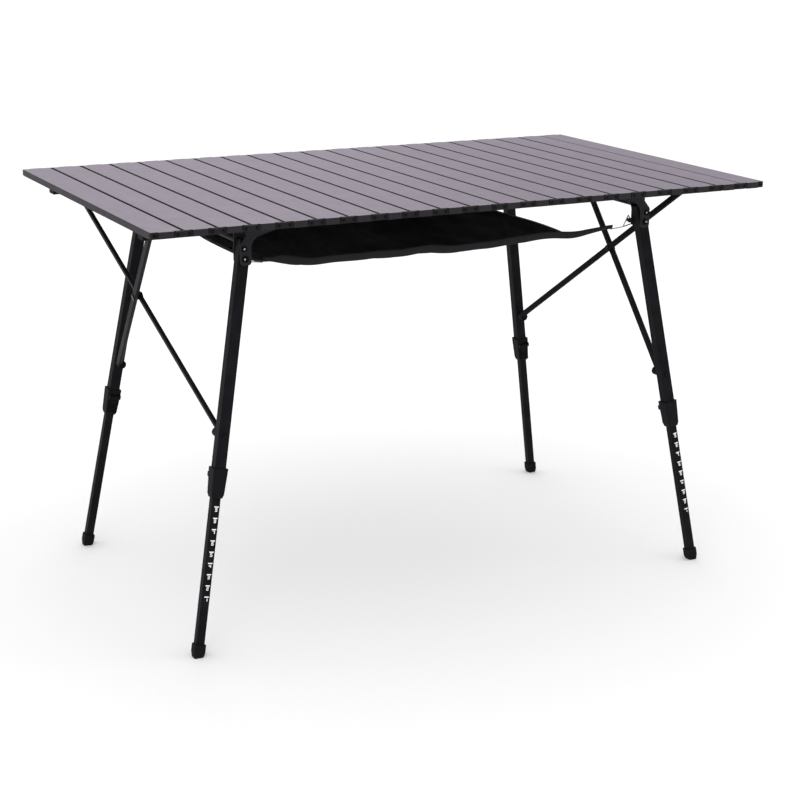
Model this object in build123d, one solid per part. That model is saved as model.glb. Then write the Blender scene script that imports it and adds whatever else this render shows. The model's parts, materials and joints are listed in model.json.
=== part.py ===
from build123d import *
import os

# Roll-top camp kitchen table, in millimetres. +Z is up and +X runs along the long side.
# The origin is on the floor, under the middle of the top. The front is -Y, the left is -X.

# ---- driving dimensions ----
TABLE_LENGTH = 1200.0
TABLE_WIDTH = 700.0
TABLE_HEIGHT = 750.0

SLAT_COUNT = 21
SLAT_THICKNESS = 11.0
SLAT_GAP = 4.3
LAST_GAP = 1.5          # the last slat is pushed up against its neighbour
SLAT_WALL = 1.7
SLAT_LIP = 9.0          # width of each lip that closes part of the channel from below
CAP_LENGTH = 8.0        # plastic end cap, outside the channel
CAP_PLUG = 12.0         # and inside it
LINK_THICKNESS = 3.0
LINK_PLAY = 0.3
LINK_RADIUS = 5.0
LINK_PIN_INSET = 7.5    # from the slat's long edge to its link pin
LINK_PIN_RADIUS = 3.0
CAP_PAD_PLAY = 1.2      # between a link and the raised pad in the middle of the cap

RAIL_Y = 241.0
RAIL_WIDTH = 25.0
RAIL_HEIGHT = 20.0
RAIL_HALF_LENGTH = 575.0
RAIL_WALL = 1.5
RAIL_DROP = 0.2         # play between the rails and the slats that rest on them
END_BAR_X = 540.0
END_BAR_WIDTH = 20.0
END_BAR_HEIGHT = 16.0

PIVOT_X = 402.0
PIVOT_Z = 674.0
FOOT_X = 520.0
FOOT_Y = 300.0
PIVOT_PIN_RADIUS = 4.0
RUNNING_CLEARANCE = 0.05

UPPER_TUBE = 20.0
LOWER_TUBE = 15.0
UPPER_WALL = 1.5
LOWER_WALL = 1.3
HEAD_LENGTH = 30.0      # the upper tube goes on this far above its pivot
UPPER_LENGTH = 375.0    # all lengths along a leg are counted down from its pivot
LOWER_START = 320.0
LOWER_END = 680.0
CLAMP_TOP = 356.6
CLAMP_BOTTOM = 407.6
FOOT_TOP = 664.3
LEVER_HINGE = 370.0
LEVER_HINGE_OUT = 15.3
LEVER_TIP = 403.0

BRACKET_HALF_GAP = 12.8
BRACKET_PLATE = 2.5
BRACKET_STUD_X = 404.0
BRACKET_STUD_Z = 691.0
TIE_BAR_Z = 703.0
TIE_BAR_RADIUS = 6.0
SCREW_RADIUS = 3.0
HEAD_HEIGHT = 2.2
HEX_SOCKET_RADIUS = 2.4

BRACE_TOP_Y = 190.0
BRACE_TOP_Z = 714.0
BRACE_BOLT_Z = 378.0
BRACE_BOLT_Y = 248.0    # where the brace's centre line ends, just inside the leg
BRACE_WIDTH = 12.0
BRACE_THICKNESS = 7.0
BRACE_GAP = 1.5

NET_LEFT_X = -338.0
NET_RIGHT_X = 322.0
NET_HALF_WIDTH = 220.0
NET_CORNER_X = 276.0    # the right-hand corners are cut back to here along the long edges
NET_CORNER_Y = 120.0    # and to here along the end
NET_EDGE_Z = 658.0
NET_SAG = 32.0
NET_THICKNESS = 3.0
STRAP_END_X = 352.0     # the hem strap runs on past the cut corner to its hook
STRAP_WIDTH = 12.0
HOOK_WIRE_RADIUS = 1.1

# ---- places worked out from them ----
TOP_UNDERSIDE = TABLE_HEIGHT - SLAT_THICKNESS
SLAT_MID_Z = TABLE_HEIGHT - SLAT_THICKNESS / 2
SLAT_WIDTH = (TABLE_LENGTH - (SLAT_COUNT - 2) * SLAT_GAP - LAST_GAP) / SLAT_COUNT
SLAT_PITCH = SLAT_WIDTH + SLAT_GAP
RAIL_TOP = TOP_UNDERSIDE - RAIL_DROP
RAIL_BOTTOM = RAIL_TOP - RAIL_HEIGHT

BRACKET_OUTER_X = PIVOT_X + 9.0
BRACKET_INNER_X = PIVOT_X - 11.0
BRACKET_BOTTOM = PIVOT_Z - 11.0
BRACKET_TOP = RAIL_TOP - 3.0
GUSSET_REACH = 60.0
BRACKET_NECK = 12.0     # above the stud the outer plate is narrower by this
NECK_START_Z = PIVOT_Z + 25.0
NECK_END_Z = RAIL_BOTTOM - 5.0
RIVET_RADIUS = 2.5
RIVET_Z = RAIL_BOTTOM + RAIL_HEIGHT / 2
RIVET_PLACES = (PIVOT_X - 45, PIVOT_X)
LUG_X = BRACKET_INNER_X - 3.0
LUG_Z = PIVOT_Z - 1.0

PIVOT = Vector(PIVOT_X, RAIL_Y, PIVOT_Z)
LEG_LINE = Vector(FOOT_X, FOOT_Y, 0) - PIVOT
LEG_DOWN = LEG_LINE.normalized()
LEG_OUT = (Vector(1, 0, 0) - LEG_DOWN * LEG_DOWN.X).normalized()
# The leg's own frame: x points outwards along the table, y inwards across it, z down the leg.
LEG_FRAME = Plane(origin=PIVOT, x_dir=LEG_OUT, z_dir=LEG_DOWN)

bolt_drop = (PIVOT_Z - BRACE_BOLT_Z) / PIVOT_Z
BRACE_BOLT_X = PIVOT_X + (FOOT_X - PIVOT_X) * bolt_drop
LEG_Y_AT_BOLT = RAIL_Y + (FOOT_Y - RAIL_Y) * bolt_drop
BRACE_SLOPE = Vector(END_BAR_X - BRACE_BOLT_X, 0, BRACE_TOP_Z - BRACE_BOLT_Z)
BRACE_NORMAL = Vector(BRACE_SLOPE.Z, 0, -BRACE_SLOPE.X).normalized()
BRACE_OFFSET = (BRACE_THICKNESS + BRACE_GAP) / 2


def box(x0, x1, y0, y1, z0, z1):
    """A plain block between two corners."""
    middle = Pos((x0 + x1) / 2, (y0 + y1) / 2, (z0 + z1) / 2)
    return middle * Box(x1 - x0, y1 - y0, z1 - z0)


def y_cylinder(radius, x, z, y0, y1):
    """A round bar parallel to Y."""
    return Pos(x, (y0 + y1) / 2, z) * Rot(90, 0, 0) * Cylinder(radius, y1 - y0)


def x_cylinder(radius, y, z, x0, x1):
    """A round bar parallel to X."""
    return Pos((x0 + x1) / 2, y, z) * Rot(0, 90, 0) * Cylinder(radius, x1 - x0)


def rod(start, end, radius):
    """A round bar between two points."""
    line = Vector(*end) - Vector(*start)
    return Plane(origin=start, z_dir=line) * extrude(Circle(radius), line.length)


def square_tube(width, wall, z0, z1, corner):
    """A square tube along Z, centred on the axis."""
    outside = RectangleRounded(width, width, corner)
    inside = RectangleRounded(width - 2 * wall, width - 2 * wall, max(corner - wall, 0.5))
    return Pos(0, 0, z0) * extrude(outside - inside, z1 - z0)


def at_corner(shape, x_side, y_side):
    """Moves a part of the +X +Y leg to another corner by mirroring."""
    if x_side < 0:
        shape = mirror(shape, about=Plane.YZ)
    if y_side < 0:
        shape = mirror(shape, about=Plane.XZ)
    return shape


def at_both_ends(shape):
    """The part at the right end and its copy turned half round at the left end."""
    return [shape, Rot(0, 0, 180) * shape]


def save(name, *shapes):
    """Writes one named part, which may be a group of separate solids."""
    solids = [solid for shape in shapes for solid in shape.solids()]
    export_step(Compound(solids) if len(solids) > 1 else solids[0], f"parts/{name}.step")


# ---- the slatted top ----
def slat_left_edge(number):
    """X of a slat's left edge. Slats are numbered from 1 at the left end."""
    if number == SLAT_COUNT:
        return TABLE_LENGTH / 2 - SLAT_WIDTH
    return -TABLE_LENGTH / 2 + (number - 1) * SLAT_PITCH


def slat_channel(left):
    """The aluminium extrusion: a channel, open below between two lips."""
    right = left + SLAT_WIDTH
    half = TABLE_WIDTH / 2 - LINK_THICKNESS - 2 * LINK_PLAY - CAP_LENGTH
    channel = box(left, right, -half, half, TOP_UNDERSIDE, TABLE_HEIGHT)
    channel = fillet(channel.edges().filter_by(Axis.Y).group_by(Axis.Z)[-1], 1.2)
    channel -= box(left + SLAT_WALL, right - SLAT_WALL, -half, half,
                   TOP_UNDERSIDE + SLAT_WALL, TABLE_HEIGHT - SLAT_WALL)
    channel -= box(left + SLAT_LIP, right - SLAT_LIP, -half, half,
                   TOP_UNDERSIDE, TOP_UNDERSIDE + SLAT_WALL)
    return channel


def slat_cap(left, y_side):
    """The plastic cap in a slat's end, with two stubs for the links and a raised pad between."""
    fit = 0.1
    right = left + SLAT_WIDTH
    outer = TABLE_WIDTH / 2 - LINK_THICKNESS - 2 * LINK_PLAY
    inner = outer - CAP_LENGTH
    cap = box(left, right, inner, outer, TOP_UNDERSIDE, TABLE_HEIGHT)
    cap = fillet(cap.edges().filter_by(Axis.Z) + cap.edges().filter_by(Axis.Y), 1.2)
    cap += box(left + SLAT_WALL + fit, right - SLAT_WALL - fit, inner - CAP_PLUG, inner + 1,
               TOP_UNDERSIDE + SLAT_WALL + fit, TABLE_HEIGHT - SLAT_WALL - fit)
    pad_inset = LINK_PIN_INSET + LINK_RADIUS + CAP_PAD_PLAY
    pad = box(left + pad_inset, right - pad_inset, outer - 1, TABLE_WIDTH / 2 - LINK_PLAY,
              TOP_UNDERSIDE, TABLE_HEIGHT)
    cap += fillet(pad.edges().filter_by(Axis.Z), 0.8)
    for x in (left + LINK_PIN_INSET, right - LINK_PIN_INSET):
        cap += y_cylinder(LINK_PIN_RADIUS, x, SLAT_MID_Z, outer - 1, TABLE_WIDTH / 2)
    return cap if y_side > 0 else mirror(cap, about=Plane.XZ)


def slat_link(number, y_side):
    """The dog-bone link on the right edge of a slat, reaching to the slat after it."""
    own_pin = slat_left_edge(number) + SLAT_WIDTH - LINK_PIN_INSET
    next_pin = slat_left_edge(number + 1) + LINK_PIN_INSET
    reach = next_pin - own_pin
    plate = SlotOverall(reach + 2 * LINK_RADIUS, 2 * LINK_RADIUS)
    for x in (-reach / 2, reach / 2):
        plate -= Pos(x, 0) * Circle(LINK_PIN_RADIUS + RUNNING_CLEARANCE)
    outer = TABLE_WIDTH / 2 - LINK_PLAY
    middle = Plane(origin=((own_pin + next_pin) / 2, outer, SLAT_MID_Z), x_dir=(1, 0, 0),
                   z_dir=(0, -1, 0))
    link = middle * extrude(plate, LINK_THICKNESS)
    return link if y_side > 0 else mirror(link, about=Plane.XZ)


def slat(number):
    """Everything that moves with one slat."""
    left = slat_left_edge(number)
    pieces = [slat_channel(left), slat_cap(left, 1), slat_cap(left, -1)]
    if number < SLAT_COUNT:
        pieces += [slat_link(number, 1), slat_link(number, -1)]
    return pieces


# ---- the frame under the top ----
def rail(y_side):
    """One long tube, drilled on its inner side for the bracket rivets."""
    outside = box(-RAIL_HALF_LENGTH, RAIL_HALF_LENGTH, RAIL_Y - RAIL_WIDTH / 2,
                  RAIL_Y + RAIL_WIDTH / 2, RAIL_BOTTOM, RAIL_TOP)
    outside = fillet(outside.edges().filter_by(Axis.X), 1.5)
    tube = outside - box(-RAIL_HALF_LENGTH, RAIL_HALF_LENGTH,
                         RAIL_Y - RAIL_WIDTH / 2 + RAIL_WALL, RAIL_Y + RAIL_WIDTH / 2 - RAIL_WALL,
                         RAIL_BOTTOM + RAIL_WALL, RAIL_TOP - RAIL_WALL)
    for x_side in (-1, 1):
        for x in RIVET_PLACES:
            tube -= y_cylinder(RIVET_RADIUS, x_side * x, RIVET_Z, RAIL_Y - RAIL_WIDTH, RAIL_Y)
    return at_corner(tube, 1, y_side)


def rail_end_cap():
    """The plastic cap that closes a rail's end."""
    flange = 3.0
    fit = RAIL_WALL + 0.1
    plug = 12.0
    cap = box(RAIL_HALF_LENGTH, RAIL_HALF_LENGTH + flange, RAIL_Y - RAIL_WIDTH / 2,
              RAIL_Y + RAIL_WIDTH / 2, RAIL_BOTTOM, RAIL_TOP)
    cap = fillet(cap.edges().group_by(Axis.X)[-1], 1.5)
    return cap + box(RAIL_HALF_LENGTH - plug, RAIL_HALF_LENGTH + 1,
                     RAIL_Y - RAIL_WIDTH / 2 + fit, RAIL_Y + RAIL_WIDTH / 2 - fit,
                     RAIL_BOTTOM + fit, RAIL_TOP - fit)


def end_crossbar():
    """The flat tube that joins the rails near one end and carries the brace clips."""
    reach = RAIL_Y - RAIL_WIDTH / 2
    half = END_BAR_WIDTH / 2
    outside = box(END_BAR_X - half, END_BAR_X + half, -reach, reach,
                  RAIL_TOP - END_BAR_HEIGHT, RAIL_TOP)
    return outside - box(END_BAR_X - half + RAIL_WALL, END_BAR_X + half - RAIL_WALL, -reach, reach,
                         RAIL_TOP - END_BAR_HEIGHT + RAIL_WALL, RAIL_TOP - RAIL_WALL)


def brace_clip(y_side):
    """The saddle under an end crossbar that a brace's top stub rests in."""
    groove = 4.6
    half_width = 8.0
    y0 = BRACE_TOP_Y + 4
    y1 = BRACE_TOP_Y + 16
    clip = box(END_BAR_X - half_width, END_BAR_X + half_width, y0, y1,
               BRACE_TOP_Z, RAIL_TOP - END_BAR_HEIGHT)
    clip = fillet(clip.edges().filter_by(Axis.Z), 1.5)
    clip -= y_cylinder(groove, END_BAR_X, BRACE_TOP_Z, y0 - 1, y1 + 1)
    return at_corner(clip, 1, y_side)


def bracket_crossbar():
    """The round tie bar between the front and rear bracket of one end."""
    reach = RAIL_Y - BRACKET_HALF_GAP - BRACKET_PLATE
    bar = y_cylinder(TIE_BAR_RADIUS, BRACKET_STUD_X, TIE_BAR_Z, -reach, reach)
    return bar - y_cylinder(SCREW_RADIUS + RUNNING_CLEARANCE, BRACKET_STUD_X, TIE_BAR_Z,
                            -reach, reach)


# ---- leg brackets, their pins and screws ----
def bracket_side_outline(neck):
    """The side plate seen along Y: a post, stepped in by the neck, with a curved inward gusset."""
    gusset_end = BRACKET_INNER_X - GUSSET_REACH
    points = [(BRACKET_OUTER_X - neck, BRACKET_TOP), (BRACKET_OUTER_X - neck, NECK_END_Z),
              (BRACKET_OUTER_X, NECK_START_Z), (BRACKET_OUTER_X, BRACKET_BOTTOM),
              (BRACKET_INNER_X, BRACKET_BOTTOM), (BRACKET_INNER_X, PIVOT_Z + 33),
              (gusset_end, RAIL_BOTTOM + 5), (gusset_end, BRACKET_TOP)]
    face = make_face(Polyline(*points, close=True))
    foot_corners = face.vertices().group_by(Axis.Y)[0]
    face = fillet(foot_corners, 6)
    inner_corner = [v for v in face.vertices()
                    if abs(v.X - BRACKET_INNER_X) < 0.01 and v.Y > PIVOT_Z + 20]
    return fillet(inner_corner, 20)


def leg_bracket():
    """The cast bracket: a side plate on each side of the rail and the leg, and a saddle between."""
    inside = RAIL_Y - BRACKET_HALF_GAP
    outside = RAIL_Y + BRACKET_HALF_GAP
    saddle_reach = 28.0
    saddle_top = RAIL_BOTTOM - 0.2
    bracket = box(BRACKET_INNER_X - saddle_reach, BRACKET_OUTER_X - BRACKET_NECK,
                  inside - 1, outside + 1, saddle_top - BRACKET_PLATE, saddle_top)
    for y0, neck in ((inside - BRACKET_PLATE, 0), (outside, BRACKET_NECK)):
        # The outline's own plane faces -Y, so the plate is laid from its far side.
        plate = Plane(origin=(0, y0 + BRACKET_PLATE, 0), x_dir=(1, 0, 0), z_dir=(0, -1, 0))
        bracket += plate * extrude(bracket_side_outline(neck), BRACKET_PLATE)
    bracket += y_cylinder(2.0, LUG_X, LUG_Z, inside - 9, inside - 1)
    bracket += y_cylinder(3.4, LUG_X, LUG_Z, inside - 10.5, inside - 9)
    bracket += box(LUG_X - 3, BRACKET_INNER_X + 4, inside - BRACKET_PLATE, inside,
                   LUG_Z - 4, LUG_Z + 4)
    hole = PIVOT_PIN_RADIUS + RUNNING_CLEARANCE
    bracket -= y_cylinder(hole, PIVOT_X, PIVOT_Z, inside - 5, outside + 5)
    bracket -= y_cylinder(SCREW_RADIUS, BRACKET_STUD_X, BRACKET_STUD_Z, outside - 1, outside + 5)
    bracket -= y_cylinder(SCREW_RADIUS, BRACKET_STUD_X, TIE_BAR_Z, inside - 5, inside + 1)
    for x in RIVET_PLACES:
        bracket -= y_cylinder(RIVET_RADIUS, x, RIVET_Z, inside - 5, inside + 1)
    return bracket


def hex_socket(x, y, z):
    """The hexagon hole in a screw head whose outer face is at y."""
    face = Plane(origin=(x, y, z), x_dir=(1, 0, 0), z_dir=(0, -1, 0))
    return face * extrude(RegularPolygon(HEX_SOCKET_RADIUS, 6), HEAD_HEIGHT * 0.6)


def bracket_fasteners():
    """The leg's pivot pin, the stud above it, the tie-bar screw and the two rivets of one bracket."""
    inside = RAIL_Y - BRACKET_HALF_GAP - BRACKET_PLATE
    outside = RAIL_Y + BRACKET_HALF_GAP + BRACKET_PLATE
    head_face = outside + HEAD_HEIGHT
    pin = y_cylinder(PIVOT_PIN_RADIUS, PIVOT_X, PIVOT_Z, inside - HEAD_HEIGHT, head_face)
    pin += y_cylinder(PIVOT_PIN_RADIUS + 1.5, PIVOT_X, PIVOT_Z, outside, head_face)
    pin += y_cylinder(PIVOT_PIN_RADIUS + 1.5, PIVOT_X, PIVOT_Z, inside - HEAD_HEIGHT, inside)
    pin -= hex_socket(PIVOT_X, head_face, PIVOT_Z)
    stud = y_cylinder(SCREW_RADIUS, BRACKET_STUD_X, BRACKET_STUD_Z, outside - BRACKET_PLATE, head_face)
    stud += y_cylinder(SCREW_RADIUS + 2, BRACKET_STUD_X, BRACKET_STUD_Z, outside, head_face)
    stud -= hex_socket(BRACKET_STUD_X, head_face, BRACKET_STUD_Z)
    tie_screw = y_cylinder(SCREW_RADIUS, BRACKET_STUD_X, TIE_BAR_Z, inside - 18, inside + BRACKET_PLATE)
    pieces = [pin, stud, tie_screw]
    for x in RIVET_PLACES:
        rivet = y_cylinder(RIVET_RADIUS, x, RIVET_Z, inside - 1.5, inside + BRACKET_PLATE + 3)
        pieces.append(rivet + y_cylinder(RIVET_RADIUS + 2, x, RIVET_Z, inside - 1.5, inside))
    return pieces


# ---- legs, in the leg's own frame ----
def upper_tube():
    """The fixed half of a leg, which turns on the pivot pin a little below its top."""
    tube = LEG_FRAME * square_tube(UPPER_TUBE, UPPER_WALL, -HEAD_LENGTH, UPPER_LENGTH, 2)
    tube -= y_cylinder(PIVOT_PIN_RADIUS + RUNNING_CLEARANCE, PIVOT_X, PIVOT_Z,
                       RAIL_Y - 20, RAIL_Y + 20)
    tube -= y_cylinder(SCREW_RADIUS + RUNNING_CLEARANCE, BRACE_BOLT_X, BRACE_BOLT_Z,
                       LEG_Y_AT_BOLT - 20, LEG_Y_AT_BOLT)
    return tube


def brace_bolt_cover():
    """The round cover on the outer face of a leg, opposite the brace bolt."""
    along_leg = (PIVOT_Z - BRACE_BOLT_Z) / -LEG_DOWN.Z
    face = -UPPER_TUBE / 2
    disc = Pos(0, face - 1.1, along_leg) * Rot(90, 0, 0) * Cylinder(5.0, 2.2)
    disc = fillet(disc.edges().group_by(Axis.Y)[0], 1.2)
    return LEG_FRAME * disc


def leg_clamp():
    """The plastic clamp on the end of the upper tube, flared at the top and tapered below."""
    stations = ((CLAMP_TOP, 26.5), (CLAMP_TOP + 7, 26.0), (CLAMP_BOTTOM - 6, 23.0),
                (CLAMP_BOTTOM, 19.5))
    body = loft([Pos(0, 0, z) * RectangleRounded(w, w, 2.5) for z, w in stations], ruled=True)
    lever_seat = 12.0
    body -= box(-8.3, 8.3, lever_seat, 20, CLAMP_TOP - 1, CLAMP_BOTTOM + 1)
    for side in (-1, 1):
        ear_x = side * 9.9
        ear = box(ear_x - 1.6, ear_x + 1.6, 9, LEVER_HINGE_OUT + 2.6,
                  LEVER_HINGE - 4.5, LEVER_HINGE + 4.5)
        body += fillet(ear.edges().filter_by(Axis.X).group_by(Axis.Y)[-1], 2.2)
    body -= x_cylinder(2.0 + RUNNING_CLEARANCE, LEVER_HINGE_OUT, LEVER_HINGE, -12, 12)
    socket = UPPER_TUBE + 0.1
    passage = LOWER_TUBE + 0.6
    body -= Pos(0, 0, CLAMP_TOP - 1) * extrude(Rectangle(socket, socket),
                                               UPPER_LENGTH - CLAMP_TOP + 1)
    body -= Pos(0, 0, UPPER_LENGTH - 1) * extrude(Rectangle(passage, passage), 50)
    return LEG_FRAME * body


def clamp_lever():
    """The cam lever on the clamp's inner face, with finger ribs at its free end."""
    plate = box(-7.6, 7.6, LEVER_HINGE_OUT - 2.8, LEVER_HINGE_OUT, LEVER_HINGE, LEVER_TIP)
    plate += x_cylinder(3.0, LEVER_HINGE_OUT, LEVER_HINGE, -8.0, 8.0)
    plate += x_cylinder(2.0, LEVER_HINGE_OUT, LEVER_HINGE, -11.4, 11.4)
    rib_pitch = 4.5
    for rib in range(4):
        z = LEVER_TIP - 2 - rib * rib_pitch
        plate += x_cylinder(1.6, LEVER_HINGE_OUT + 0.4, z, -7.6, 7.6)
    return LEG_FRAME * plate


def lower_tube():
    """The sliding half of a leg."""
    return LEG_FRAME * square_tube(LOWER_TUBE, LOWER_WALL, LOWER_START, LOWER_END, 1.5)


def foot():
    """The rubber foot, tapered to its tread and cut level with the floor."""
    stations = ((FOOT_TOP, 20.0), (FOOT_TOP + 14, 20.0), (FOOT_TOP + 32, 13.0))
    blank = LEG_FRAME * loft([Pos(0, 0, z) * RectangleRounded(w, w, 2.5) for z, w in stations],
                             ruled=True)
    blank -= box(FOOT_X - 60, FOOT_X + 60, FOOT_Y - 60, FOOT_Y + 60, -80, 0)
    blank -= LEG_FRAME * (Pos(0, 0, FOOT_TOP - 1)
                          * extrude(RectangleRounded(LOWER_TUBE, LOWER_TUBE, 1.5),
                                    LOWER_END - FOOT_TOP + 1))
    dimple = Pos(0, 10, FOOT_TOP + 9) * Rot(90, 0, 0) * Cylinder(4.0, 2.0)
    return blank - LEG_FRAME * dimple


# ---- cross braces at the right end ----
def brace(layer, top_side):
    """A bar from the clip on one long side to the leg on the other, outside or inside its twin."""
    shift = BRACE_NORMAL * (layer * BRACE_OFFSET)
    top = Vector(END_BAR_X, top_side * BRACE_TOP_Y, BRACE_TOP_Z) + shift
    bottom = Vector(BRACE_BOLT_X, -top_side * BRACE_BOLT_Y, BRACE_BOLT_Z) + shift
    line = top - bottom
    section = Plane(origin=bottom, x_dir=BRACE_NORMAL, z_dir=line)
    bar = section * extrude(RectangleRounded(BRACE_THICKNESS, BRACE_WIDTH, 2), line.length)
    stub_start, stub_end = sorted((top_side * (BRACE_TOP_Y - 6), top_side * (BRACE_TOP_Y + 18)))
    bar += y_cylinder(4.0, END_BAR_X, BRACE_TOP_Z, stub_start, stub_end)
    leg_face = LEG_Y_AT_BOLT - UPPER_TUBE / 2 - 1.1
    eye_start, eye_end = sorted((-top_side * (BRACE_BOLT_Y - 8), -top_side * leg_face))
    bar += y_cylinder(8.0, BRACE_BOLT_X, BRACE_BOLT_Z, eye_start, eye_end)
    # Nothing of the bar's square end may pass the eye's face towards the leg.
    beyond_start, beyond_end = sorted((-top_side * leg_face, -top_side * (leg_face + 30)))
    bar -= box(BRACE_BOLT_X - 30, BRACE_BOLT_X + 30, beyond_start, beyond_end,
               BRACE_BOLT_Z - 30, BRACE_BOLT_Z + 30)
    bar -= y_cylinder(SCREW_RADIUS, BRACE_BOLT_X, BRACE_BOLT_Z, eye_start - 1, eye_end + 1)
    # A relief in the bar's underside lets the bolt head sit against the eye.
    inner_face = -top_side * (BRACE_BOLT_Y - 8)
    relief_start, relief_end = sorted((inner_face, inner_face + top_side * 20))
    bar -= y_cylinder(5.6, BRACE_BOLT_X, BRACE_BOLT_Z, relief_start, relief_end)
    crossing_axis = Plane(origin=crossing_point(), z_dir=BRACE_NORMAL)
    bar -= crossing_axis * extrude(Circle(SCREW_RADIUS), 20, both=True)
    return bar


def crossing_point():
    """Where the two braces of one end pass each other."""
    fraction = BRACE_TOP_Y / (BRACE_TOP_Y + BRACE_BOLT_Y)
    return Vector(END_BAR_X, 0, BRACE_TOP_Z) - BRACE_SLOPE * fraction


def brace_fasteners():
    """The rivet and washer at the crossing, and the bolt at the foot of each brace."""
    axis = Plane(origin=crossing_point(), z_dir=BRACE_NORMAL)
    reach = BRACE_OFFSET + BRACE_THICKNESS / 2
    rivet = axis * extrude(Circle(SCREW_RADIUS), reach + 1.5, both=True)
    for side in (-1, 1):
        head = Plane(origin=axis.origin + BRACE_NORMAL * (side * reach), z_dir=BRACE_NORMAL * side)
        rivet += head * extrude(Circle(5.5), 1.5)
    washer = axis * extrude(Circle(6.5) - Circle(SCREW_RADIUS), BRACE_GAP / 2, both=True)
    bolt_head = BRACE_BOLT_Y - 8
    bolt_end = LEG_Y_AT_BOLT - UPPER_TUBE / 2 + 1.1
    bolt = y_cylinder(SCREW_RADIUS, BRACE_BOLT_X, BRACE_BOLT_Z, bolt_head - 2.5, bolt_end)
    bolt += y_cylinder(5.2, BRACE_BOLT_X, BRACE_BOLT_Z, bolt_head - 2.5, bolt_head)
    return [rivet, washer, bolt, at_corner(bolt, 1, -1)]


# ---- storage net and its hooks ----
def storage_net():
    """The hanging net: a thin curved sheet, and the straps that run on past its corners."""
    rise_radius = (NET_HALF_WIDTH ** 2 + NET_SAG ** 2) / (2 * NET_SAG)
    centre_z = NET_EDGE_Z - NET_SAG + rise_radius
    shell = x_cylinder(rise_radius + NET_THICKNESS, 0, centre_z, NET_LEFT_X, NET_RIGHT_X)
    shell -= x_cylinder(rise_radius, 0, centre_z, NET_LEFT_X - 1, NET_RIGHT_X + 1)
    outline = [(NET_LEFT_X, -NET_HALF_WIDTH), (NET_CORNER_X, -NET_HALF_WIDTH),
               (NET_RIGHT_X, -NET_CORNER_Y), (NET_RIGHT_X, NET_CORNER_Y),
               (NET_CORNER_X, NET_HALF_WIDTH), (NET_LEFT_X, NET_HALF_WIDTH)]
    depth = NET_SAG + 10
    block = extrude(make_face(Polyline(*outline, close=True)), depth)
    sheet = shell & (Pos(0, 0, NET_EDGE_Z - depth) * block)
    for y_side in (-1, 1):
        for x0, x1 in ((-STRAP_END_X, NET_LEFT_X + 30), (NET_CORNER_X - 30, STRAP_END_X)):
            strap = box(x0, x1, NET_HALF_WIDTH - STRAP_WIDTH, NET_HALF_WIDTH,
                        NET_EDGE_Z - NET_THICKNESS, NET_EDGE_Z)
            sheet += at_corner(strap, 1, y_side)
    return sheet


def net_hook():
    """One wire hook: a straight stem from the net's corner and a triangle round the bracket lug."""
    y = RAIL_Y - BRACKET_HALF_GAP - 5.5
    stem_start = Vector(STRAP_END_X + 1.5, NET_HALF_WIDTH - STRAP_WIDTH / 2, NET_EDGE_Z - 1.5)
    heel = Vector(LUG_X - 12, y, NET_EDGE_Z + 3)
    tip = Vector(LUG_X - 1, y, LUG_Z + 9)
    outer_corner = Vector(LUG_X + 9.5, y, LUG_Z - 7)
    corners = [stem_start, heel, tip, outer_corner, heel]
    hook = None
    for start, end in zip(corners, corners[1:]):
        length = rod(start, end, HOOK_WIRE_RADIUS) + Pos(*end) * Sphere(HOOK_WIRE_RADIUS)
        hook = length if hook is None else hook + length
    return hook


# ---- write every part ----
def main():
    os.makedirs("parts", exist_ok=True)
    for number in range(1, SLAT_COUNT + 1):
        save(f"slat_{number:02d}", *slat(number))
    save("front_rail", rail(-1))
    save("rear_rail", rail(1))
    corners = {"front_left": (-1, -1), "front_right": (1, -1), "rear_left": (-1, 1), "rear_right": (1, 1)}
    save("rail_end_caps", *[at_corner(rail_end_cap(), *side) for side in corners.values()])
    save("end_crossbars", *at_both_ends(end_crossbar()))
    save("bracket_crossbars", *at_both_ends(bracket_crossbar()))
    save("brace_clips", *[at_corner(brace_clip(1), *side) for side in corners.values()])
    save("bracket_fasteners", *[at_corner(piece, *side) for piece in bracket_fasteners()
                                for side in corners.values()])
    save("net_hooks", *[at_corner(net_hook(), *side) for side in corners.values()])
    save("storage_net", storage_net())
    for corner, side in corners.items():
        save(f"{corner}_bracket", at_corner(leg_bracket(), *side))
        save(f"{corner}_upper_tube", at_corner(upper_tube(), *side),
             at_corner(brace_bolt_cover(), *side))
        save(f"{corner}_clamp", at_corner(leg_clamp(), *side))
        save(f"{corner}_clamp_lever", at_corner(clamp_lever(), *side))
        save(f"{corner}_lower_tube", at_corner(lower_tube(), *side))
        save(f"{corner}_foot", at_corner(foot(), *side))
    for layer, layer_name, top_side in ((1, "outer", 1), (-1, "inner", -1)):
        for end, copy in zip(("right", "left"), at_both_ends(brace(layer, top_side))):
            save(f"{end}_{layer_name}_brace", copy)
    for end, turn in (("right", 0), ("left", 180)):
        save(f"{end}_brace_fasteners", *[Rot(0, 0, turn) * piece for piece in brace_fasteners()])


main()
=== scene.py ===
import json
import math
import bmesh
import bpy
from mathutils import Matrix, Vector, noise


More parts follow.
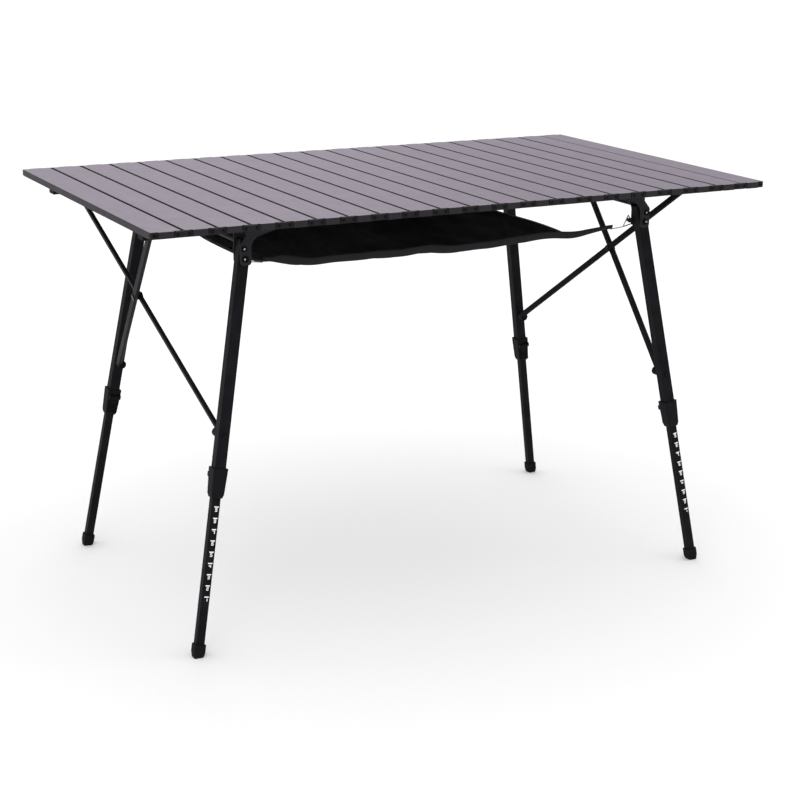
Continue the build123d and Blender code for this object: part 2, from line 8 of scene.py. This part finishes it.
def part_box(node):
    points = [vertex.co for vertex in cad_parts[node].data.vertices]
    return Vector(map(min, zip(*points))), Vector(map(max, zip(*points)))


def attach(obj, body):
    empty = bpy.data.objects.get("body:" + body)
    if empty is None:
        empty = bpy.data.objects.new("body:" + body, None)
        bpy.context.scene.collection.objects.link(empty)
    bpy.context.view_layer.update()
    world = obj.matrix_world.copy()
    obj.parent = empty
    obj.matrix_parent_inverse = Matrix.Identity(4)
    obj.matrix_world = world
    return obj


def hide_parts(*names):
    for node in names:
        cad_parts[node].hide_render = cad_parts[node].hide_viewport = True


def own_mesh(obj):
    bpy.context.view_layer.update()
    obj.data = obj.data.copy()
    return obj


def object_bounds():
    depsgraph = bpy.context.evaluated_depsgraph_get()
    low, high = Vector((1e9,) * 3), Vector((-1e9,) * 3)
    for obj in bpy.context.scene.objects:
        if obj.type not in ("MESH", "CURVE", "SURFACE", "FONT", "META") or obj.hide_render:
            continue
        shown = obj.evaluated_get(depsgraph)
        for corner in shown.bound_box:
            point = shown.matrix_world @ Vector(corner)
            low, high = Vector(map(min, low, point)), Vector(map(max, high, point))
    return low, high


# Looks of the roll-top camping table. Metres, in the CAD model's own frame: +X runs along the
# table to the right, +Y across it to the rear, +Z up, with the origin on the floor.

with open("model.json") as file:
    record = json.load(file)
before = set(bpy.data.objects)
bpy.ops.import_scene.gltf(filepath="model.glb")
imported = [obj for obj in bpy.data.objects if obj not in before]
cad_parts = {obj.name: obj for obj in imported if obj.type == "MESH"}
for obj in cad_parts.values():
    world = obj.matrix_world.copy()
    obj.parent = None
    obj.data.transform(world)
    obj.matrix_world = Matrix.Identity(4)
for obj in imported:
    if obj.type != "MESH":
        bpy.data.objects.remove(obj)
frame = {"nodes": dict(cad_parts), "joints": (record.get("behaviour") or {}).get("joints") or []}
cad_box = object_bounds()

CORNERS = {
    "front_left": (-1, -1),
    "front_right": (1, -1),
    "rear_left": (-1, 1),
    "rear_right": (1, 1),
}
CAP_START_Y = 0.3384      # the slat's plastic cap starts here, and its links a little further out
LINK_START_Y = 0.34655
PIN_FACE_Y = 0.34985      # only the ends of the link pins stand out this far
LINK_REACH = 0.0131       # the links cover this much of a cap from each side
SLAT_GAP = 0.0043
STUD_X, STUD_Z, PIVOT_Z = 0.4035, 0.691, 0.674    # screws on each bracket
# radius of the painted highlight in each bracket screw's socket
SOCKET_RADIUS = 0.0017
SIDE_FACING = 0.3         # a slat's face counts as a side from this much along X
SIDE_PAINTED_SHADE = 0.95      # painted shade on the slats' sides, so that the gaps between slats read dark
TOP_FACING = 0.6          # a cap's face counts as its top from this much along Z

NET_HALF_WIDTH = 0.2175
NET_LEFT_CORNER_X = -0.338
NET_LEFT_MIDDLE_X = -0.334
NET_RIGHT_CORNER_X = 0.268    # the right-hand corners are cut back
NET_RIGHT_MIDDLE_X = 0.320
STRAP_END_X = 0.353
HEM_LOW_Z = 0.6438        # bottom of the hem, half way along
HEM_RISE = 0.0130         # how much higher the hem is at its hooks
HEM_HEIGHT = 0.014
STRAP_HEIGHT = 0.0075
HEM_STEEPNESS_LEFT = 5.0  # how late the hem rises towards its hooks
HEM_STEEPNESS_RIGHT = 2.2
HEM_WAVES = 0.0060        # of its lower edge
HEM_BOW = 0.0035          # how far it is drawn in half way along
HEM_WOBBLE = 0.0012
HEM_HALF_THICKNESS = 0.0012
HEM_TILT = 0.25           # radians from upright, and how much that varies
HEM_TWIST = 0.2
HEM_TAPER_START = 0.02    # the sleeve narrows from this far before the net's corner
HEM_TAPER_END = 0.01      # to this far before the strap's end
NET_SAG = 0.030
NET_END_SAG = 0.023
NET_END_ROUNDNESS = 2.2
CLOTH_AT_HEM = 0.55       # the cloth meets the hem this share of the way up
CLOTH_THICKNESS = 0.0008
GATHER_SPACING = 0.055
GATHER_DEPTH = 0.0030
WAVE_DEPTH = 0.0045
RIPPLE_DEPTH = 0.002
BINDING_WIDTH = 0.008
BINDING_HALF_THICKNESS = 0.0011
BINDING_REACH = 0.985     # the bindings stop this share of the way to the corners
BINDING_INSET = 0.8       # of half their width, from the cloth's edge

MARK_START = 0.4229       # along the leg from its pivot
MARK_PITCH = 0.0196
MARK_COUNT = 9
MARK_SHIFT = 0.001        # the column stands a little to the right on its face
TICK_LENGTH = 0.0080
TICK_WIDTH = 0.0018
FIGURE_WIDTH = 0.0028
FIGURE_HEIGHT = 0.0050
FIGURE_STROKE = 0.0012
LOWER_TUBE = 0.015
PRINT_HALF_THICKNESS = 0.00006

FLOOR_REACH = 60
SURROUND_STRENGTH = 1.12
LAMP_AIM = (0, 0, 0.5)
CAMERA_PLACE = (-1.52215, -2.92795, 1.27653)
CAMERA_YAW = 27.86        # degrees, clockwise from +Y as seen from above
CAMERA_PITCH = 16.28      # downwards
CAMERA_ROLL = 0.56
CAMERA_LENS = 79.85       # mm, on a sensor 36 mm wide
CAMERA_SENSOR = 36


# ---- materials ----
class Surface:
    """A procedural material. Its patterns follow the object's own coordinates, in metres."""

    def __init__(self, name, colour, roughness, metallic=0.0, specular=0.5):
        self.material = bpy.data.materials.new(name)
        self.material.use_nodes = True
        self.tree = self.material.node_tree
        self.shader = self.tree.nodes["Principled BSDF"]
        self.colour = colour
        self.set("Base Color", (*colour, 1))
        self.set("Roughness", roughness)
        self.set("Metallic", metallic)
        self.set("Specular IOR Level", specular)
        self.coordinates = self.tree.nodes.new("ShaderNodeTexCoord").outputs
        self.place = self.coordinates["Object"]
        self.normal = None

    def set(self, socket, value):
        self.shader.inputs[socket].default_value = value

    def join(self, output, socket):
        self.tree.links.new(output, self.shader.inputs[socket])

    def node(self, kind, **inputs):
        """A new node. Its inputs go by name, or by number as i0, i1 and so on, and each is given
        a number, a vector or another node's output."""
        made = self.tree.nodes.new(kind)
        for name, value in inputs.items():
            numbered = name[0] == "i" and name[1:].isdigit()
            socket = made.inputs[int(name[1:]) if numbered else name]
            if isinstance(value, bpy.types.NodeSocket):
                self.tree.links.new(value, socket)
            else:
                socket.default_value = value
        return made

    def maths(self, operation, a, b=0.0):
        made = self.node("ShaderNodeMath", i0=a, i1=b)
        made.operation = operation
        return made.outputs[0]

    def axis(self, letter):
        """One coordinate of the surface point."""
        return self.node("ShaderNodeSeparateXYZ", Vector=self.place).outputs[letter]

    def facing(self, letter):
        """How far the surface faces along one of the object's own axes, from -1 to 1."""
        normal = self.coordinates["Normal"]
        return self.node("ShaderNodeSeparateXYZ", Vector=normal).outputs[letter]

    def noise(self, size, stretch=(1, 1, 1), detail=2.0):
        """Noise from 0 to 1 whose features are about size metres across."""
        mapping = self.node("ShaderNodeMapping", Vector=self.place)
        mapping.inputs["Scale"].default_value = [s / size for s in stretch]
        made = self.node("ShaderNodeTexNoise", Vector=mapping.outputs[0])
        made.inputs["Scale"].default_value = 1.0
        made.inputs["Detail"].default_value = detail
        return made.outputs["Fac"]

    def stripes(self, letter, pitch):
        """A wave from 0 to 1 along one axis. The addend is the node's own default, 0.5."""
        turns = self.maths("MULTIPLY", self.axis(letter), 2 * math.pi / pitch)
        wave = self.maths("SINE", turns)
        return self.maths("MULTIPLY_ADD", wave, 0.5)

    def between(self, factor, low, high, start=0.0, end=1.0):
        """A number that goes from low to high as factor goes from start to end."""
        made = self.node("ShaderNodeMapRange", Value=factor)
        for name, value in (("From Min", start), ("From Max", end),
                            ("To Min", low), ("To Max", high)):
            made.inputs[name].default_value = value
        return made.outputs[0]

    def blend(self, factor, first, second):
        """A colour that goes from first to second as factor goes from 0 to 1."""
        made = self.tree.nodes.new("ShaderNodeMix")
        made.data_type = "RGBA"
        for index, value in ((0, factor), (6, first), (7, second)):
            socket = made.inputs[index]
            if isinstance(value, bpy.types.NodeSocket):
                self.tree.links.new(value, socket)
            elif isinstance(value, tuple):
                socket.default_value = (*value, 1)
            else:
                socket.default_value = value
        return made.outputs[2]

    def shades(self, factor, spread):
        """The base colour, darker and lighter by that share as factor goes from 0 to 1."""
        dark = tuple(c * (1 - spread) for c in self.colour)
        light = tuple(c * (1 + spread) for c in self.colour)
        return self.blend(factor, dark, light)

    def bump(self, height, depth):
        """Relief of that depth in metres, added to the relief made before."""
        made = self.node("ShaderNodeBump", Height=height)
        made.inputs["Distance"].default_value = depth
        made.inputs["Strength"].default_value = 1.0
        if self.normal is not None:
            self.tree.links.new(self.normal, made.inputs["Normal"])
        self.normal = made.outputs[0]
        self.join(self.normal, "Normal")


def slat_surface(name, left_edge, pitch):
    """Brushed mauve-grey anodised aluminium, with plastic caps and dark links at the ends, and
    painted shade on the slats' sides.
    """
    s = Surface(name, (0.178, 0.146, 0.191), 0.46, metallic=0.45, specular=0.1)
    brushing = s.noise(0.0011, stretch=(1, 0.02, 1), detail=3.0)
    grain = s.noise(0.0009)
    cloud = s.noise(0.12)
    metal = s.shades(s.between(brushing, 0.0, 1.0, 0.3, 0.7), 0.07)
    metal = s.blend(s.between(grain, 0.0, 0.35, 0.55, 0.8), metal, (0.225, 0.192, 0.238))
    metal = s.blend(s.between(cloud, 0.0, 0.12, 0.4, 0.7), metal, (0.125, 0.101, 0.136))
    # Painted shade: the sides of the slats are darkened so that the gaps between slats read dark.
    side_shade_mask = s.maths("GREATER_THAN", s.maths("ABSOLUTE", s.facing("X")), SIDE_FACING)
    metal = s.blend(s.maths("MULTIPLY", side_shade_mask, SIDE_PAINTED_SHADE), metal, (0.003, 0.002, 0.003))
    out = s.maths("ABSOLUTE", s.axis("Y"))
    across = s.maths("MODULO", s.maths("SUBTRACT", s.axis("X"), left_edge), pitch)
    half_width = (pitch - SLAT_GAP) / 2
    from_middle = s.maths("ABSOLUTE", s.maths("SUBTRACT", across, half_width))
    on_pad = s.maths("LESS_THAN", from_middle, half_width - LINK_REACH)
    # The caps are dark at the ends and sides; their tops match the slats.
    not_top = s.maths("LESS_THAN", s.facing("Z"), TOP_FACING)
    on_cap = s.maths("MULTIPLY", s.maths("GREATER_THAN", out, CAP_START_Y), not_top)
    on_link = s.maths("MULTIPLY", s.maths("GREATER_THAN", out, LINK_START_Y),
                      s.maths("SUBTRACT", 1.0, on_pad))
    on_pin = s.maths("GREATER_THAN", out, PIN_FACE_Y)
    cap = s.blend(s.noise(0.0008), (0.012, 0.011, 0.0125), (0.026, 0.024, 0.026))
    link = s.blend(s.noise(0.0015), (0.006, 0.0057, 0.0063), (0.017, 0.016, 0.0175))
    colour = s.blend(on_cap, metal, cap)
    colour = s.blend(on_link, colour, link)
    colour = s.blend(on_pin, colour, (0.0004, 0.0004, 0.0004))
    s.join(colour, "Base Color")
    s.join(s.between(on_cap, 0.45, 0.0), "Metallic")
    rough = s.between(s.noise(0.02), 0.42, 0.52)
    s.join(rough, "Roughness")
    s.bump(brushing, 0.000012)
    s.bump(grain, 0.00001)
    return s.material


def powder_coat_surface():
    """Satin black powder coat on drawn tube: a fine orange peel over faint draw lines."""
    s = Surface("frame_powder_coat", (0.0085, 0.0078, 0.0098), 0.36, specular=0.025)
    peel = s.noise(0.0016)
    draw = s.noise(0.0009, stretch=(1, 1, 0.03))
    s.join(s.shades(s.between(s.noise(0.03), 0.0, 1.0, 0.3, 0.7), 0.25), "Base Color")
    s.join(s.between(peel, 0.36, 0.5, 0.3, 0.7), "Roughness")
    s.bump(peel, 0.00003)
    s.bump(draw, 0.00001)
    return s.material


def cast_surface():
    """Dark painted casting with a slightly coarse skin."""
    s = Surface("bracket_casting", (0.0190, 0.0180, 0.0200), 0.44, specular=0.07)
    skin = s.noise(0.0012, detail=4.0)
    s.join(s.shades(s.noise(0.012), 0.3), "Base Color")
    s.join(s.between(skin, 0.42, 0.6), "Roughness")
    s.bump(skin, 0.00008)
    return s.material


def moulded_surface(name, colour, grain_size):
    """Moulded plastic with a spark-eroded grain."""
    s = Surface(name, colour, 0.5, specular=0.05)
    grain = s.noise(grain_size, detail=3.0)
    s.join(s.shades(s.noise(0.008), 0.2), "Base Color")
    s.join(s.between(grain, 0.48, 0.64), "Roughness")
    s.bump(grain, 0.00005)
    return s.material


def rubber_surface():
    """Matt black rubber, dusty in places."""
    s = Surface("foot_rubber", (0.004, 0.004, 0.0042), 0.75, specular=0.12)
    dust = s.between(s.noise(0.006, detail=4.0), 0.0, 0.5, 0.5, 0.75)
    s.join(s.blend(dust, (0.004, 0.004, 0.0042), (0.012, 0.0115, 0.011)), "Base Color")
    s.join(s.between(s.noise(0.001), 0.7, 0.9), "Roughness")
    s.bump(s.noise(0.0007, detail=3.0), 0.00006)
    return s.material


def fastener_surface():
    """Black zinc on steel, with a painted highlight in the hexagon sockets of the bracket screws."""
    s = Surface("fastener_black_zinc", (0.006, 0.006, 0.007), 0.36, metallic=1.0)
    zinc = s.shades(s.noise(0.0012, detail=3.0), 0.5)
    # Painted highlight: a bright steel dot in the hexagon socket of each bracket screw.
    beside = s.maths("SUBTRACT", s.maths("ABSOLUTE", s.axis("X")), STUD_X)
    above_stud = s.maths("SUBTRACT", s.axis("Z"), STUD_Z)
    above_pivot = s.maths("SUBTRACT", s.axis("Z"), PIVOT_Z)
    nearest = s.maths("MINIMUM", s.maths("ABSOLUTE", above_stud),
                      s.maths("ABSOLUTE", above_pivot))
    distance_squared = s.maths("ADD", s.maths("MULTIPLY", beside, beside),
                               s.maths("MULTIPLY", nearest, nearest))
    socket_painted_highlight = s.maths("LESS_THAN", distance_squared, SOCKET_RADIUS ** 2)
    s.join(s.blend(socket_painted_highlight, zinc, (0.45, 0.44, 0.43)), "Base Color")
    s.join(s.between(s.noise(0.0006), 0.28, 0.5), "Roughness")
    s.bump(s.noise(0.0005), 0.00002)
    return s.material


def wire_surface():
    """Bright drawn steel wire."""
    s = Surface("hook_wire", (0.5, 0.5, 0.5), 0.3, metallic=1.0)
    s.join(s.shades(s.noise(0.0008, detail=3.0), 0.25), "Base Color")
    s.join(s.between(s.noise(0.0005), 0.2, 0.42), "Roughness")
    return s.material


def net_surface():
    """Fine knitted mesh: rows of small dark holes between raised black threads, with paler patches
    painted on as sheen.
    """
    pitch = 0.0016
    s = Surface("net_mesh", (0.0018, 0.0018, 0.0021), 0.8, specular=0.02)
    holes = s.maths("MULTIPLY", s.stripes("X", pitch), s.stripes("Y", pitch))
    # Painted sheen: paler patches on the threads stand in for light caught by the mesh.
    painted_sheen_patches = s.between(s.noise(0.045, stretch=(1, 0.35, 1), detail=3.0), 0.0, 1.0, 0.46, 0.80)
    thread = s.blend(painted_sheen_patches, (0.0020, 0.0020, 0.0024), (0.028, 0.0265, 0.033))
    s.join(s.blend(holes, thread, (0.0005, 0.0005, 0.0006)), "Base Color")
    s.set("Sheen Weight", 0.02)
    s.set("Sheen Roughness", 0.45)
    s.set("Sheen Tint", (0.75, 0.75, 0.85, 1))
    s.bump(s.maths("SUBTRACT", 1.0, holes), 0.0004)
    s.bump(s.noise(0.004, detail=3.0), 0.0003)
    return s.material


def webbing_surface():
    """Ribbed binding tape round the net's edge."""
    s = Surface("net_webbing", (0.0135, 0.0120, 0.0145), 0.7, specular=0.1)
    ribs = s.stripes("X", 0.0014)
    s.join(s.shades(s.noise(0.003, detail=3.0), 0.35), "Base Color")
    s.set("Sheen Weight", 0.04)
    s.set("Sheen Roughness", 0.4)
    s.bump(ribs, 0.0002)
    s.bump(s.noise(0.0012), 0.00015)
    return s.material


def print_surface():
    """White printed ink, thin in places."""
    s = Surface("scale_print", (0.62, 0.62, 0.62), 0.6)
    worn = s.between(s.noise(0.0006), 0.0, 0.5)
    s.join(s.blend(worn, (0.97, 0.97, 0.97), (0.86, 0.86, 0.86)), "Base Color")
    return s.material


def floor_surface():
    """Plain pale studio floor."""
    s = Surface("studio_floor", (0.93, 0.93, 0.93), 0.9, specular=0.1)
    s.join(s.shades(s.noise(0.4), 0.005), "Base Color")
    return s.material


LAST_SLAT_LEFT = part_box("slat_21")[0][0]
SLAT_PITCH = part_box("slat_21")[1][0] - LAST_SLAT_LEFT + SLAT_GAP
SLAT = slat_surface("slat_anodised", cad_box[0][0], SLAT_PITCH)
LAST_SLAT = slat_surface("last_slat_anodised", LAST_SLAT_LEFT, SLAT_PITCH)
POWDER_COAT = powder_coat_surface()
CASTING = cast_surface()
BLACK_PLASTIC = moulded_surface("clamp_plastic", (0.0070, 0.0064, 0.0076), 0.0006)
LEVER_PLASTIC = moulded_surface("lever_plastic", (0.0060, 0.0055, 0.0065), 0.0005)
RUBBER = rubber_surface()
BLACK_ZINC = fastener_surface()
WIRE = wire_surface()
NET = net_surface()
WEBBING = webbing_surface()
PRINT = print_surface()


def node_material(node):
    """The material of a CAD node, by what the node is."""
    for words, material in (
        (("slat_21",), LAST_SLAT),
        (("slat_",), SLAT),
        (("_clamp_lever",), LEVER_PLASTIC),
        (("_clamp", "rail_end_caps", "brace_clips"), BLACK_PLASTIC),
        (("_foot",), RUBBER),
        (("fasteners",), BLACK_ZINC),
        (("net_hooks",), WIRE),
        (("_bracket",), CASTING),
    ):
        if any(word in node for word in words):
            return material
    return POWDER_COAT


def paint_nodes():
    """Gives each CAD node its material."""
    for name, node in frame["nodes"].items():
        node.data.materials.clear()
        node.data.materials.append(node_material(name))


# ---- making pieces ----
def new_piece(name, vertices, faces, material, smooth=True):
    """A mesh object from its points and faces, with its normals facing out."""
    mesh = bpy.data.meshes.new(name)
    mesh.from_pydata(vertices, [], faces)
    made = bmesh.new()
    made.from_mesh(mesh)
    bmesh.ops.recalc_face_normals(made, faces=made.faces)
    made.to_mesh(mesh)
    made.free()
    mesh.polygons.foreach_set("use_smooth", [smooth] * len(mesh.polygons))
    mesh.materials.append(material)
    piece = bpy.data.objects.new(name, mesh)
    bpy.context.scene.collection.objects.link(piece)
    return piece


def swept_tape(name, path, material, corner=0.3):
    """A closed tape with bevelled edges. Each step of the path is its middle, half its width as
    a vector and half its thickness as a vector."""
    section = ((1, 1 - corner), (1 - corner / 3, 1), (-1 + corner / 3, 1), (-1, 1 - corner),
               (-1, -1 + corner), (-1 + corner / 3, -1), (1 - corner / 3, -1), (1, -1 + corner))
    vertices = [middle + across * a + through * b
                for middle, across, through in path for a, b in section]
    size = len(section)
    faces = [tuple(range(size))]
    for step in range(len(path) - 1):
        start = step * size
        for k in range(size):
            after = (k + 1) % size
            faces.append((start + k, start + after, start + size + after, start + size + k))
    last = (len(path) - 1) * size
    faces.append(tuple(last + k for k in reversed(range(size))))
    return new_piece(name, vertices, faces, material)


# ---- the storage net ----
def hem_z(x):
    """Height of the hem's lower edge at x."""
    steepness = HEM_STEEPNESS_RIGHT if x > 0 else HEM_STEEPNESS_LEFT
    waves = HEM_WAVES * noise.noise((x * 13, 8.2, 0))
    return HEM_LOW_Z + HEM_RISE * abs(x / STRAP_END_X) ** steepness + waves


def hem_height(x):
    """The hem is a wide sleeve that narrows to a strap past the net's corner."""
    corner = NET_RIGHT_CORNER_X if x > 0 else -NET_LEFT_CORNER_X
    start, end = corner - HEM_TAPER_START, STRAP_END_X - HEM_TAPER_END
    share = min(max((abs(x) - start) / (end - start), 0.0), 1.0)
    return HEM_HEIGHT + (STRAP_HEIGHT - HEM_HEIGHT) * share * share * (3 - 2 * share)


def hem_y(x):
    """The hem is drawn in a little between its hooks."""
    drawn = HEM_BOW * (abs(x) / STRAP_END_X) ** 2
    return NET_HALF_WIDTH + drawn + HEM_WOBBLE * noise.noise((x * 14, 3.1, 0))


def net_end_x(side, v):
    """X of the net's end, which bulges out between its corners."""
    corner = NET_RIGHT_CORNER_X if side > 0 else NET_LEFT_CORNER_X
    middle = NET_RIGHT_MIDDLE_X if side > 0 else NET_LEFT_MIDDLE_X
    return middle + (corner - middle) * abs(v) ** NET_END_ROUNDNESS


def net_point(u, v):
    """A point of the net. u runs from end to end and v from front to rear, both from -1 to 1."""
    left, right = net_end_x(-1, v), net_end_x(1, v)
    x = left + (right - left) * (u + 1) / 2
    y = v * hem_y(x)
    edge = hem_z(x) + CLOTH_AT_HEM * hem_height(x)
    sag = NET_SAG + (NET_END_SAG - NET_SAG) * u * u
    z = edge - sag * (1 - abs(v) ** 3)
    # The gathers are strongest near the hems, and the edges themselves stay where they are.
    near_edge = abs(v) ** 3 * (1 - abs(v) ** 12)
    gathers = math.sin(2 * math.pi * (x + 0.3 * y) / GATHER_SPACING
                       + 4 * noise.noise((x * 7, y * 3, 1.0)))
    folds = GATHER_DEPTH * near_edge * gathers
    inside = (1 - abs(v) ** 8) * (1 - abs(u) ** 8)
    waves = (WAVE_DEPTH * noise.noise((x * 9, y * 5, 7.0))
             + RIPPLE_DEPTH * noise.noise((x * 30, y * 16, 2.0)))
    return Vector((x, y, z + folds + waves * inside))


def net_cloth():
    """The mesh cloth itself, one continuous sagging sheet."""
    steps_u, steps_v = 200, 130
    vertices = [net_point(2 * i / steps_u - 1, 2 * j / steps_v - 1)
                for i in range(steps_u + 1) for j in range(steps_v + 1)]
    row = steps_v + 1
    faces = [(i * row + j, (i + 1) * row + j, (i + 1) * row + j + 1, i * row + j + 1)
             for i in range(steps_u) for j in range(steps_v)]
    cloth = new_piece("net_cloth", vertices, faces, NET)
    thickness = cloth.modifiers.new("thickness", "SOLIDIFY")
    thickness.thickness = CLOTH_THICKNESS
    thickness.offset = 0.0
    return cloth


def net_area():
    """Flat area of the cloth, added up over the net's own surface."""
    steps = 60
    total = 0.0
    for i in range(steps):
        for j in range(steps):
            a, b, c, d = (net_point(2 * (i + p) / steps - 1, 2 * (j + q) / steps - 1)
                          for p, q in ((0, 0), (1, 0), (1, 1), (0, 1)))
            total += ((b - a).cross(d - a).length + (b - c).cross(d - c).length) / 2
    return total


def net_hem(side, name):
    """The long edge's sleeve, which runs on as a strap to the hooks at both ends."""
    steps = 160
    path = []
    for i in range(steps + 1):
        x = (2 * i / steps - 1) * STRAP_END_X
        tall = hem_height(x)
        middle = Vector((x, side * hem_y(x), hem_z(x) + tall / 2))
        tilt = HEM_TILT + HEM_TWIST * noise.noise((x * 11, side, 5.0))
        across = Vector((0, side * math.sin(tilt), math.cos(tilt))) * tall / 2
        through = Vector((0, math.cos(tilt), -side * math.sin(tilt))) * HEM_HALF_THICKNESS
        path.append((middle, across, through))
    return swept_tape(name, path, WEBBING)


def net_end_hem(side, name):
    """The binding along one short, curved end."""
    steps = 80
    path = []
    for j in range(steps + 1):
        v = (2 * j / steps - 1) * BINDING_REACH
        edge = net_point(side, v)
        inside = net_point(side * 0.97, v)
        across = (edge - inside).normalized() * BINDING_WIDTH / 2
        ahead, behind = net_point(side, min(v + 0.02, 1)), net_point(side, max(v - 0.02, -1))
        along = (ahead - behind).normalized()
        through = across.cross(along).normalized() * BINDING_HALF_THICKNESS
        path.append((edge - across * BINDING_INSET, across, through))
    return swept_tape(name, path, WEBBING)


def storage_net():
    """The net with its bindings, in place of the CAD solid."""
    cloth = net_cloth()
    bindings = [net_hem(-1, "net_front_hem"), net_hem(1, "net_rear_hem"),
                net_end_hem(-1, "net_left_binding"), net_end_hem(1, "net_right_binding")]
    for piece in (cloth, *bindings):
        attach(piece, "frame")
        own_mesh(piece)
    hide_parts("storage_net")
    area = net_area()


# ---- the printed height scale on each lower leg ----
# The strokes of each figure: t top, m middle, b bottom, l and R the upper sides, L and r the lower.
SEGMENTS = {
    1: "rR", 2: "tRmLb", 3: "tRmrb", 4: "lRmr", 5: "tlmrb",
    6: "tlmrbL", 7: "tRr", 8: "tlRmLrb", 9: "tlRmrb",
}


def figure_strokes(number):
    """The strokes of one plain figure as (centre x, centre z, length x, length z)."""
    half, tall, stroke = FIGURE_WIDTH / 2, FIGURE_HEIGHT, FIGURE_STROKE
    wide = FIGURE_WIDTH + stroke
    places = {
        "t": (0, tall / 2, wide, stroke),
        "m": (0, 0, wide, stroke),
        "b": (0, -tall / 2, wide, stroke),
        "l": (-half, tall / 4, stroke, tall / 2),
        "R": (half, tall / 4, stroke, tall / 2),
        "L": (-half, -tall / 4, stroke, tall / 2),
        "r": (half, -tall / 4, stroke, tall / 2),
    }
    return [places[key] for key in SEGMENTS[number]]


def leg_directions(corner):
    """A leg's pivot and its unit vectors: outwards along the table, outwards across it, and down."""
    x_side, y_side = CORNERS[corner]
    end = corner.split("_")[1]
    fold = f"{end}_legs_fold" if corner.startswith("front") else f"{corner}_leg_fold"
    joints = {joint["name"]: joint for joint in frame["joints"]}
    pivot = Vector(joints[fold]["pos_m"])
    down = -Vector(joints[f"{corner}_leg_height"]["axis"])
    along = (Vector((x_side, 0, 0)) - down * down.x * x_side).normalized()
    across = down.cross(along).normalized()
    if across.y * y_side < 0:
        across = -across
    return pivot, along, across, down


def leg_scale(corner):
    """A column of ticks and plain figures on the outer face of one lower leg."""
    x_side, y_side = CORNERS[corner]
    pivot, along, across, down = leg_directions(corner)
    reading_right = along * (-x_side * y_side)
    box_faces = ((0, 1, 2, 3), (7, 6, 5, 4), (0, 4, 5, 1),
                 (1, 5, 6, 2), (2, 6, 7, 3), (3, 7, 4, 0))
    vertices, faces = [], []
    for mark in range(MARK_COUNT):
        top = MARK_START + mark * MARK_PITCH
        strokes = [(0, 0, TICK_LENGTH, TICK_WIDTH)]
        for x, z, wide, tall in figure_strokes(MARK_COUNT - mark):
            strokes.append((x, z - FIGURE_HEIGHT, wide, tall))
        for x, z, wide, tall in strokes:
            start = len(vertices)
            for out in (-PRINT_HALF_THICKNESS, PRINT_HALF_THICKNESS):
                for dx, dz in ((-1, -1), (1, -1), (1, 1), (-1, 1)):
                    vertices.append(pivot + reading_right * (x + MARK_SHIFT + dx * wide / 2)
                                    + down * (top - z - dz * tall / 2)
                                    + across * (LOWER_TUBE / 2 + out))
            for face in box_faces:
                faces.append(tuple(start + k for k in face))
    piece = new_piece(f"{corner}_scale", vertices, faces, PRINT, smooth=False)
    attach(piece, f"{corner}_lower_leg")


# ---- studio ----
def studio():
    """A pale floor, a white surround and soft lights."""
    corners = [Vector((x * FLOOR_REACH, y * FLOOR_REACH, 0))
               for x, y in ((-1, -1), (1, -1), (1, 1), (-1, 1))]
    floor = new_piece("floor", corners, [(0, 1, 2, 3)], floor_surface())
    world = bpy.data.worlds.new("studio")
    world.use_nodes = True
    bpy.context.scene.world = world
    background = world.node_tree.nodes["Background"].inputs
    background["Color"].default_value = (1, 1, 1, 1)
    background["Strength"].default_value = SURROUND_STRENGTH
    for name, place, size, power in (
        ("key_light", (-2.2, -2.6, 3.2), 1.2, 14),
        ("fill_light", (3.0, -1.8, 2.2), 1.2, 6),
        ("rim_light", (0.8, 3.0, 2.8), 1.6, 10),
    ):
        light = bpy.data.lights.new(name, "AREA")
        light.size = size
        light.energy = power
        lamp = bpy.data.objects.new(name, light)
        lamp.location = place
        towards = Vector(LAMP_AIM) - Vector(place)
        lamp.rotation_euler = towards.to_track_quat("-Z", "Y").to_euler()
        bpy.context.scene.collection.objects.link(lamp)
    bpy.context.scene.view_settings.view_transform = "Standard"


def camera():
    """The camera, turned by its yaw, pitch and roll."""
    yaw, pitch, roll = (math.radians(a) for a in (CAMERA_YAW, CAMERA_PITCH, CAMERA_ROLL))
    ahead = Vector((math.sin(yaw) * math.cos(pitch),
                    math.cos(yaw) * math.cos(pitch), -math.sin(pitch)))
    level_right = Vector((math.cos(yaw), -math.sin(yaw), 0))
    level_up = level_right.cross(ahead)
    right = level_right * math.cos(roll) + level_up * math.sin(roll)
    up = level_up * math.cos(roll) - level_right * math.sin(roll)
    data = bpy.data.cameras.new("camera")
    data.sensor_width = CAMERA_SENSOR
    data.lens = CAMERA_LENS
    data.clip_start, data.clip_end = 0.05, 100
    made = bpy.data.objects.new("camera", data)
    made.matrix_world = (Matrix.Translation(CAMERA_PLACE)
                         @ Matrix((right, up, -ahead)).transposed().to_4x4())
    bpy.context.scene.collection.objects.link(made)
    bpy.context.scene.camera = made


camera()
paint_nodes()
storage_net()
for corner in CORNERS:
    leg_scale(corner)
studio()
